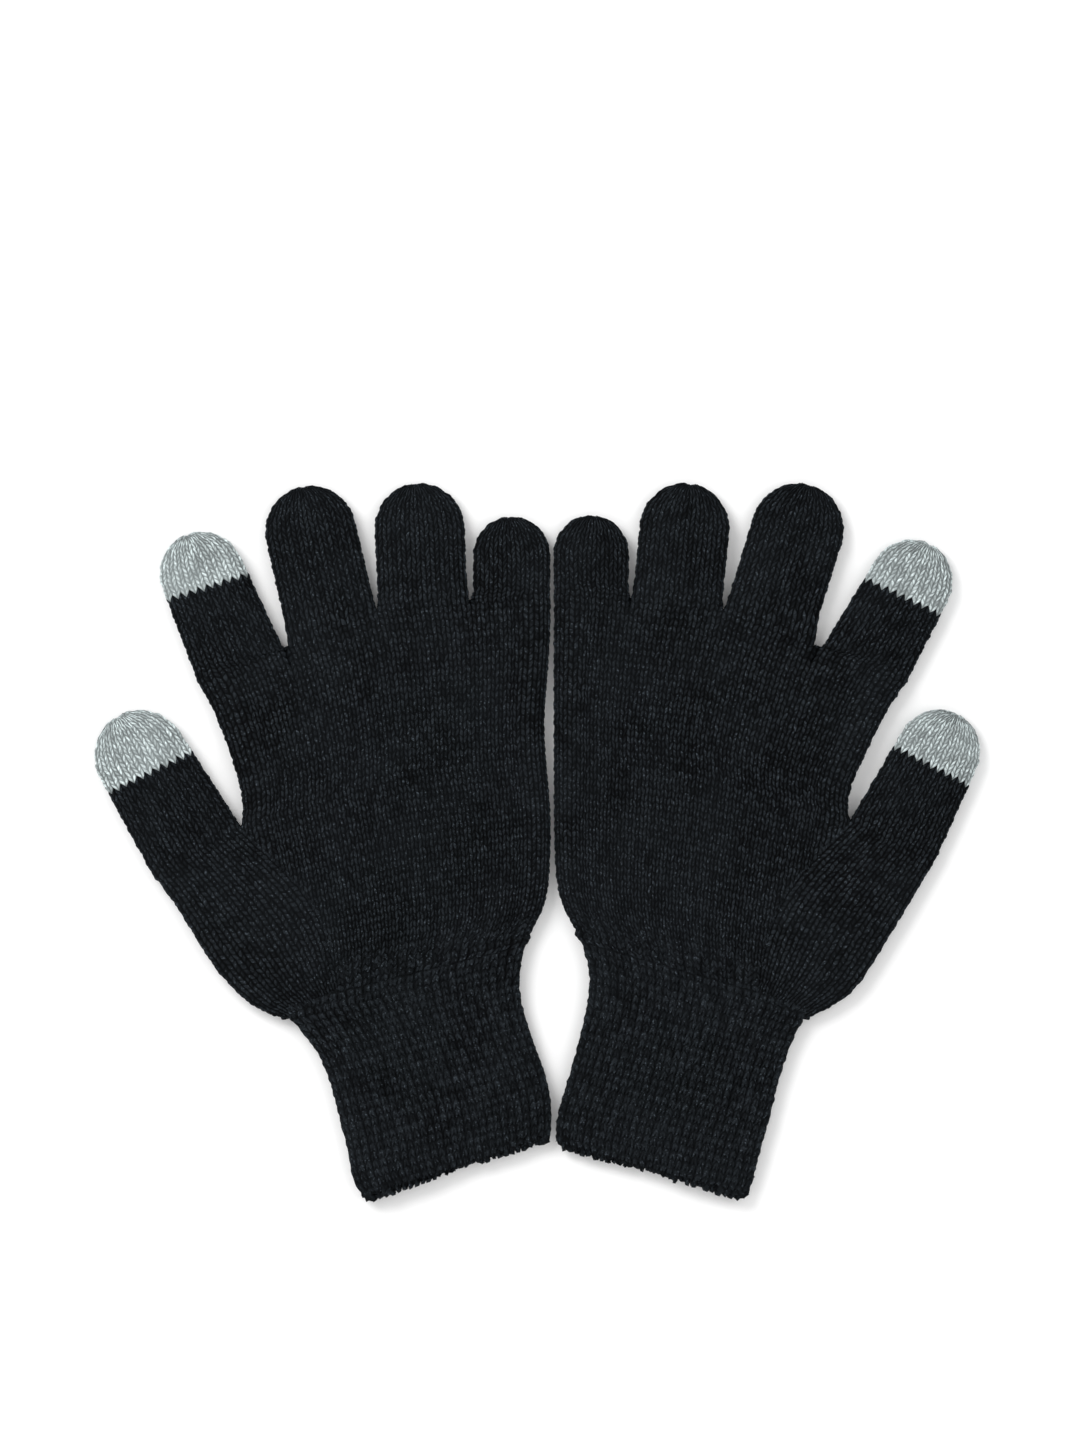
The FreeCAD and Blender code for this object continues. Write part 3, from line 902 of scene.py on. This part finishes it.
    def cuff_tube(self):
        """The ribbed cuff, which runs a little way up under the palm and turns in at its hem."""
        blank, sizes = self.blank, self.sizes
        flat, open_rows = self.cuff_flat()
        front, back = knit_both(
            blank, flat, self.seed + 9, sizes.rib_slant, relief=sizes.rib_relief, shape=rib_relief,
            seams=(open_rows, True), ends=(0, 0))
        match_seams(front, back, (open_rows, True))
        wall = sizes.wall
        pieces = []
        inset = []
        for sheet, face in ((front, PALM_SIDE), (back, BACK_SIDE)):
            normal = cloth_normals(sheet.points, face)
            calm = sheet.points - normal * ((sheet.stitch[..., 2] - 0.5) * sizes.rib_relief * 0.8)[..., None]
            inset.append(calm - normal * wall)
        middle = (inset[0][:, (0, -1)] + inset[1][:, (0, -1)]) / 2
        inset[0][:, (0, -1)] = inset[1][:, (0, -1)] = middle
        depth = 6 * COURSE_CELLS
        for sheet, lining, face in ((front, inset[0], PALM_SIDE), (back, inset[1], BACK_SIDE)):
            hem_row = lining[-1:] * 0.5 + sheet.points[-1:] * 0.5
            hem_row[..., :2] += unit(np.gradient(sheet.points, axis=0)[-1:, :, :2]) * 0.5 * MM
            under = sheet.points[:1] + (*(self.up * 1.2 * MM), -0.5 * MM * face)
            points = np.concatenate([under, sheet.points, hem_row, lining[::-1][:depth]])
            # The lining's rows keep half their proud value, so the finish paints them darker: painted shade
            # inside the cuff.
            stitch = np.concatenate([
                sheet.stitch[:1], sheet.stitch, sheet.stitch[-1:], sheet.stitch[::-1][:depth] * (1, 1, 0.5)])
            pieces.append((Sheet(points, stitch), face))
        self.cuff_surface, self.cuff_lining = (front, back), inset
        piece = make_piece(self.name("cuff_rib"), pieces, "black_rib")
        self.bend_at_wrist(piece)
        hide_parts(self.cuff)

    def bend_at_wrist(self, piece):
        middle = sum(self.wrist) / 2
        a, b = middle + self.up * self.sizes.rib_reach, middle - self.up * 11 * MM
        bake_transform(piece)

    def cuff_binding(self):
        """The overedge stitches that bind the hem, looped over it from outside to inside."""
        sizes = self.sizes
        sheets = []
        turns = 2
        for sheet, lining, face in zip(self.cuff_surface, self.cuff_lining, (PALM_SIDE, BACK_SIDE)):
            outside, inside = sheet.points[-turns - 1:], lining[-turns - 1:][::-1]
            down = unit(np.gradient(sheet.points, axis=0)[-1, :, :2])
            lip = (outside[-1:] + inside[:1]) / 2
            lip[..., :2] += down * 0.7 * MM
            points = np.concatenate([outside, lip, inside])
            rows, columns = points.shape[:2]
            v = np.linspace(0, 1, rows)[:, None]
            a = np.arange(columns)[None] / WALE_CELLS * 1.5 + 0.8 * v
            loop = np.abs(np.sin(math.pi * a)) ** 0.7
            grip = np.sin(math.pi * v) ** 0.5
            normal = cloth_normals(outside, face)[-1:]
            out = np.concatenate(
                [cloth_normals(outside, face), normal * 0, -cloth_normals(inside, face) * 0.6])
            out[turns + 1, :, :2] = down
            lift = (loop * 0.75 - 0.15) * grip * sizes.binding_relief
            # The third value is how far each loop stands out; the finish paints shade from it between the loops
            # and where they tuck in.
            stitch = np.stack([a + 0 * v, v * 3 + 0 * a, np.clip(loop * grip, 0, 1)], -1)
            sheets.append([Sheet(points + out * lift[..., None], stitch), face])
        match_seams(sheets[0][0], sheets[1][0])
        piece = make_piece(self.name("cuff_binding"), sheets, "overedge_thread")
        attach(piece, self.cuff)
        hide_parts(self.name("cuff_edge"))

    def elastic(self):
        """Covered threads laid round the inside of the cuff."""
        sizes = self.sizes
        sheets = []
        rows = self.cuff_lining[0].shape[0]
        first = 3 * COURSE_CELLS
        for i in range(sizes.elastic_threads):
            row = round(first + (rows - first - 2 * COURSE_CELLS) * i / (sizes.elastic_threads - 1))
            ring = np.concatenate([self.cuff_lining[0][row, ::4], self.cuff_lining[1][row, ::-1][::4][1:]])
            centre = ring.mean(axis=0)
            ring = centre + (ring - centre) * (0.985, 0.985, 0.9)
            tangent = unit(np.roll(ring, -1, axis=0) - np.roll(ring, 1, axis=0))
            down = np.append(-self.up, 0)
            side = unit(np.cross(tangent, down))
            over = unit(np.cross(side, tangent))
            turn = np.linspace(0, 2 * math.pi, 7)[:, None, None]
            tube = ring + (side * np.cos(turn) + over * np.sin(turn)) * sizes.elastic_radius
            stitch = np.stack([np.broadcast_to(np.arange(len(ring)) / 4, tube.shape[:2])] * 3, -1)
            sheets.append((Sheet(tube, stitch), 0))
        piece = make_piece(self.name("cuff_elastic_threads"), sheets, "elastic_thread")
        self.bend_at_wrist(piece)
        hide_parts(self.name("cuff_elastic"))


# What a user may change

def length_property(label, words, default):
    return bpy.props.FloatProperty(name=label, description=words, default=default, unit="LENGTH", precision=5)


def count_property(label, words, default):
    return bpy.props.IntProperty(name=label, description=words, default=default)


def share_property(label, words, default):
    return bpy.props.FloatProperty(name=label, description=words, default=default, subtype="FACTOR")


class GloveSizes(bpy.types.PropertyGroup):
    """Sizes of the knitting."""

    palm_slant: share_property("Palm slant", "Rise of a palm stitch's legs, as a share of a course", 0.6)
    digit_slant: share_property("Digit slant", "Rise of a digit stitch's legs, as a share of a course", 1.1)
    rib_slant: share_property("Rib slant", "Rise of a rib stitch's legs, as a share of a course", 0.6)

    finger_wales: count_property("Finger wales", "Columns of stitches across a finger", 10)
    little_wales: count_property("Little finger wales", "Columns of stitches across the little finger", 9)
    thumb_wales: count_property("Thumb wales", "Columns of stitches across the thumb", 11)
    rib_columns: count_property("Rib columns", "Raised columns across one side of the cuff", 28)
    elastic_threads: count_property("Elastic threads", "Threads laid round the inside of a cuff", 11)
    course: length_property("Palm course", "Height of one row of stitches on the palm", 0.0020)
    finger_course: length_property("Finger course", "Height of one row of stitches on a digit", 0.00185)
    tip_course: length_property("Tip course", "Height of one row of stitches on a touch tip", 0.0016)
    rib_course: length_property("Rib course", "Height of one row of stitches on the cuff", 0.0025)
    relief: length_property("Stitch relief", "From the bottom of the grooves to the top of the yarn", 0.00055)
    rib_relief: length_property("Rib relief", "From the bottom of the grooves to the top of the ribs", 0.0011)
    hem_lobes: length_property("Hem loops", "How far the loops along the hem hang below it", 0.0019)
    hem_round: length_property("Hem corners", "Radius of the corners of the cuff's open end", 0.0024)
    binding_relief: length_property("Binding relief", "How far the loops that bind the hem stand out", 0.0005)
    rib_reach: length_property("Rib reach", "How far the ribs run up the hand above the wrist", 0.0045)
    gusset_bow: length_property("Gusset bow", "How far the thumb's side seam bows towards the palm", 0.0075)
    wall: length_property("Wall", "Thickness of one layer of the cuff", 0.0014)
    elastic_radius: length_property("Elastic radius", "Radius of a covered elastic thread", 0.00025)
    palm_height: length_property("Palm height", "Height of the palm's side above the floor", 0.0084)
    seam_height: length_property("Side height", "Height of the outline above the floor", 0.0038)
    back_height: length_property("Back height", "Height of the back's side above the floor", 0.0011)
    rumple: length_property("Rumple", "Height of the slow waves in the cloth", 0.0005)
    gather: length_property("Gather", "Height of the gathers above the cuff", 0.0011)


class GloveColours(bpy.types.PropertyGroup):
    """Colours of the yarns."""

    black_yarn: bpy.props.FloatVectorProperty(
        name="Black yarn", description="Yarn of the hands and cuffs", subtype="COLOR", size=3, min=0, max=1,
        default=(0.0215, 0.0265, 0.0315))
    touch_yarn: bpy.props.FloatVectorProperty(
        name="Touch yarn", description="Conductive yarn of the touch tips", subtype="COLOR", size=3, min=0, max=1,
        default=(0.84, 0.95, 0.955))
    floor: bpy.props.FloatVectorProperty(
        name="Floor", description="Colour of the floor", subtype="COLOR", size=3, min=0, max=1,
        default=(0.92, 0.92, 0.92))


GLOVES = {}


def glove(side):
    if side not in GLOVES:
        GLOVES[side] = Glove(side)
    return GLOVES[side]


class KNIT_OT_hands(bpy.types.Operator):
    """Knit the palms, the backs and the balls of the thumbs."""
    bl_idname = "gloves.knit_hands"
    bl_label = "Knit hands"

    def execute(self, context):
        for side in SIDES:
            glove(side).palm()
            glove(side).thumb_base()
        return {"FINISHED"}


class KNIT_OT_digits(bpy.types.Operator):
    """Knit the thumbs and fingers with their touch tips."""
    bl_idname = "gloves.knit_digits"
    bl_label = "Knit thumbs and fingers"

    def execute(self, context):
        for side in SIDES:
            for digit in DIGITS:
                glove(side).digit(digit)
        return {"FINISHED"}


class KNIT_OT_cuffs(bpy.types.Operator):
    """Knit the ribbed cuffs, bind their hems and lay in the elastic."""
    bl_idname = "gloves.knit_cuffs"
    bl_label = "Knit cuffs"

    def execute(self, context):
        for side in SIDES:
            glove(side).cuff_tube()
            glove(side).cuff_binding()
            glove(side).elastic()
        return {"FINISHED"}


class KNIT_OT_tie_ends(bpy.types.Operator):
    """Give the knotted yarn tails inside the touch tips their finish."""
    bl_idname = "gloves.finish_tie_ends"
    bl_label = "Finish yarn tails"

    def execute(self, context):
        for side in SIDES:
            for digit in TOUCH_DIGITS:
                node = frame["nodes"][f"{side}_{digit}_tie_ends"]
                node.data.materials.clear()
                node.data.materials.append(finish("tie_yarn"))
        return {"FINISHED"}


class STAGE_OT_gloves(bpy.types.Operator):
    """Lay the floor, hang the lights and set the camera."""
    bl_idname = "gloves.set_stage"
    bl_label = "Set the stage"

    def execute(self, context):
        scene = context.scene
        low, high = (Vector(corner) for corner in CAD_BOX)
        bm = bmesh.new()
        bmesh.ops.create_grid(bm, x_segments=8, y_segments=8, size=3.0)
        mesh = bpy.data.meshes.new("floor")
        bm.to_mesh(mesh)
        bm.free()
        floor = bpy.data.objects.new("floor", mesh)
        scene.collection.objects.link(floor)
        f = Finish("floor_card")
        grain = f.noise(f.node("ShaderNodeTexCoord")["Object"], 40.0, 3.0, 0.5)
        pale = tuple(context.scene.glove_colours.floor) + (1,)
        colour = f.mix(grain, pale, tuple(c * 0.99 for c in pale[:3]) + (1,))
        bump = f.node("ShaderNodeBump", {}, {"Strength": 0.02, "Height": grain})["Normal"]
        f.close(colour, 0.9 - grain * 0.05, bump, specular=0.1)
        mesh.materials.append(f.material)
        world = bpy.data.worlds.new("studio")
        world.use_nodes = True
        world.node_tree.nodes["Background"].inputs["Color"].default_value = (1, 1, 1, 1)
        world.node_tree.nodes["Background"].inputs["Strength"].default_value = 0.85
        scene.world = world
        for name, place, size, power in (
            ("key", (-0.9, 0.9, 1.3), 0.9, 18.5), ("fill", (1.2, 0.4, 1.5), 1.4, 5.0),
            ("low", (0.1, -1.5, 1.1), 1.2, 4.0)):
            light = bpy.data.lights.new(name, "AREA")
            light.energy, light.size = power, size
            lamp = bpy.data.objects.new(name, light)
            lamp.location = place
            lamp.rotation_euler = (-Vector(place)).to_track_quat("-Z", "Y").to_euler()
            scene.collection.objects.link(lamp)
        scene.view_settings.view_transform = "Standard"
        size = high - low
        frame_height = size.y * 2.0
        camera_data = bpy.data.cameras.new("camera")
        camera_data.lens, camera_data.sensor_width, camera_data.clip_end = 190.0, 36.0, 20.0
        camera = bpy.data.objects.new("camera", camera_data)
        middle = (low + high) / 2
        height = camera_data.lens * frame_height / camera_data.sensor_width
        camera.location = (middle.x + size.x * 0.003, middle.y + size.y * 0.171, height + high.z)
        scene.collection.objects.link(camera)
        scene.camera = camera
        return {"FINISHED"}


STEPS = (STAGE_OT_gloves, KNIT_OT_hands, KNIT_OT_digits, KNIT_OT_cuffs, KNIT_OT_tie_ends)


class VIEW3D_PT_gloves(bpy.types.Panel):
    """Sizes, colours and steps of the gloves."""
    bl_label = "Knitted gloves"
    bl_idname = "VIEW3D_PT_gloves"
    bl_space_type = "VIEW_3D"
    bl_region_type = "UI"
    bl_category = "Gloves"

    def draw(self, context):
        for group in (context.scene.glove_sizes, context.scene.glove_colours):
            for key in group.__annotations__:
                self.layout.prop(group, key)
        for step in STEPS:
            self.layout.operator(step.bl_idname)


CLASSES = (GloveSizes, GloveColours, *STEPS, VIEW3D_PT_gloves)


def register():
    for cls in CLASSES:
        bpy.utils.register_class(cls)
    bpy.types.Scene.glove_sizes = bpy.props.PointerProperty(type=GloveSizes)
    bpy.types.Scene.glove_colours = bpy.props.PointerProperty(type=GloveColours)


def unregister():
    del bpy.types.Scene.glove_colours
    del bpy.types.Scene.glove_sizes
    for cls in reversed(CLASSES):
        bpy.utils.unregister_class(cls)


def main():
    register()
    bpy.ops.gloves.set_stage()
    bpy.ops.gloves.knit_hands()
    bpy.ops.gloves.knit_digits()
    bpy.ops.gloves.knit_cuffs()
    bpy.ops.gloves.finish_tie_ends()


if __name__ == "__main__":
    main()
